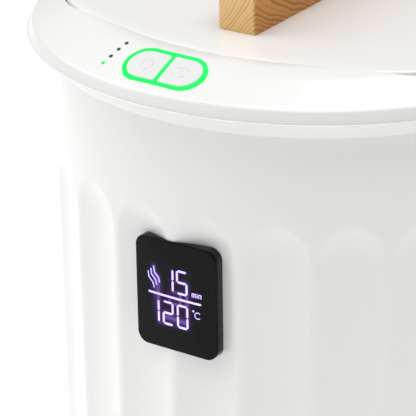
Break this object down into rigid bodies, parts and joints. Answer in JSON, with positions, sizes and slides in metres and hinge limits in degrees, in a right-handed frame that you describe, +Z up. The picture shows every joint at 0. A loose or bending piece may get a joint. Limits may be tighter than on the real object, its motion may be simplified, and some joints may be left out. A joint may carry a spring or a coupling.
{
  "type": "bucket towel warmer",
  "caption": "Round fluted bucket with a heated inner pot, lift-off lid with a wooden bar handle, sloping control ring with two lit keys, and a small black display.",
  "frame": {"origin": "centre of the bounding box at the floor, under the body's axis", "axes": "+Z up along the body's axis, display and keys towards -Y, +X to the right seen from the front"},
  "size_m": [0.2792, 0.2792, 0.3981],
  "materials": {
    "white_gloss_plastic": "glossy moulded",
    "zinc_steel": "zinc plated",
    "green_light_guide": "lit from behind",
    "grey_button_plastic": "satin moulded",
    "dark_lens": "unlit lens",
    "green_board": "solder mask",
    "black_plastic": "moulded",
    "led_package": "moulded",
    "black_gloss_plastic": "polished",
    "violet_figures": "lit from behind",
    "bucket_aluminium": "satin",
    "heater_silicone": "moulded silicone",
    "felt": "needled felt",
    "galvanised_steel": "galvanised",
    "grey_liner_plastic": "fine texture",
    "grey_silicone": "moulded silicone",
    "pine": "oiled",
    "black_rubber": "moulded",
    "yellow_tape": "taped winding",
    "capacitor_sleeve": "shrink sleeve",
    "terminal_green": "moulded",
    "wire_grey": "silicone sleeve",
    "wire_red": "silicone sleeve"
  },
  "bodies": {
    "housing": {"outer_shell": "white_gloss_plastic", "control_ring": "white_gloss_plastic", "ring_screws": "zinc_steel", "button_light_guide": "green_light_guide", "indicator_lens_on": "green_light_guide", "indicator_lenses_off": "dark_lens", "control_pcb": "green_board", "control_pcb_screws": "zinc_steel", "tact_switches": "black_plastic", "status_leds": "led_package", "display_housing": "black_gloss_plastic", "display_window": "black_gloss_plastic", "display_figures": "violet_figures", "display_light_box": "black_plastic", "display_pcb": "green_board", "display_screws": "zinc_steel", "inner_bucket": "bucket_aluminium", "heater_band": "heater_silicone", "heater_plate": "bucket_aluminium", "insulation_wrap": "felt", "bottom_insulation": "felt", "heat_shield": "galvanised_steel", "shield_posts": "galvanised_steel", "shield_screws": "zinc_steel", "thermostat": "black_plastic", "thermal_fuse": "black_plastic", "temperature_sensor": "zinc_steel", "base_plate": "grey_liner_plastic", "base_screws": "zinc_steel", "rubber_feet": "black_rubber", "power_pcb": "green_board", "power_pcb_screws": "zinc_steel", "transformer": "yellow_tape", "relay": "black_plastic", "capacitors": "capacitor_sleeve", "terminal_block": "terminal_green", "cord_gland": "grey_liner_plastic", "gland_nut": "grey_liner_plastic", "control_cable": "wire_grey", "display_cable": "wire_grey", "heater_leads": "wire_red"},
    "lid": {"lid_cover": "white_gloss_plastic", "lid_liner": "grey_liner_plastic", "lid_liner_screws": "zinc_steel", "lid_insulation": "felt", "lid_seal": "grey_silicone", "wooden_handle": "pine", "handle_screws": "zinc_steel", "handle_washers": "zinc_steel"},
    "power_button": {"power_button": "grey_button_plastic"},
    "mode_button": {"mode_button": "grey_button_plastic"}
  },
  "joints": [
    {"name": "lid_lift", "type": "slide", "parent": "housing", "child": "lid", "axis": [0, 0, 1], "range_m": [0, 0.2]},
    {"name": "power_button_press", "type": "slide", "parent": "housing", "child": "power_button", "axis": [0.017, 0.4064, -0.9135], "range_m": [0, 0.0008], "stiffness_N_per_m": 800, "springref_m": -0.0006},
    {"name": "mode_button_press", "type": "slide", "parent": "housing", "child": "mode_button", "axis": [0.017, 0.4064, -0.9135], "range_m": [0, 0.0008], "stiffness_N_per_m": 800, "springref_m": -0.0006}
  ]
}
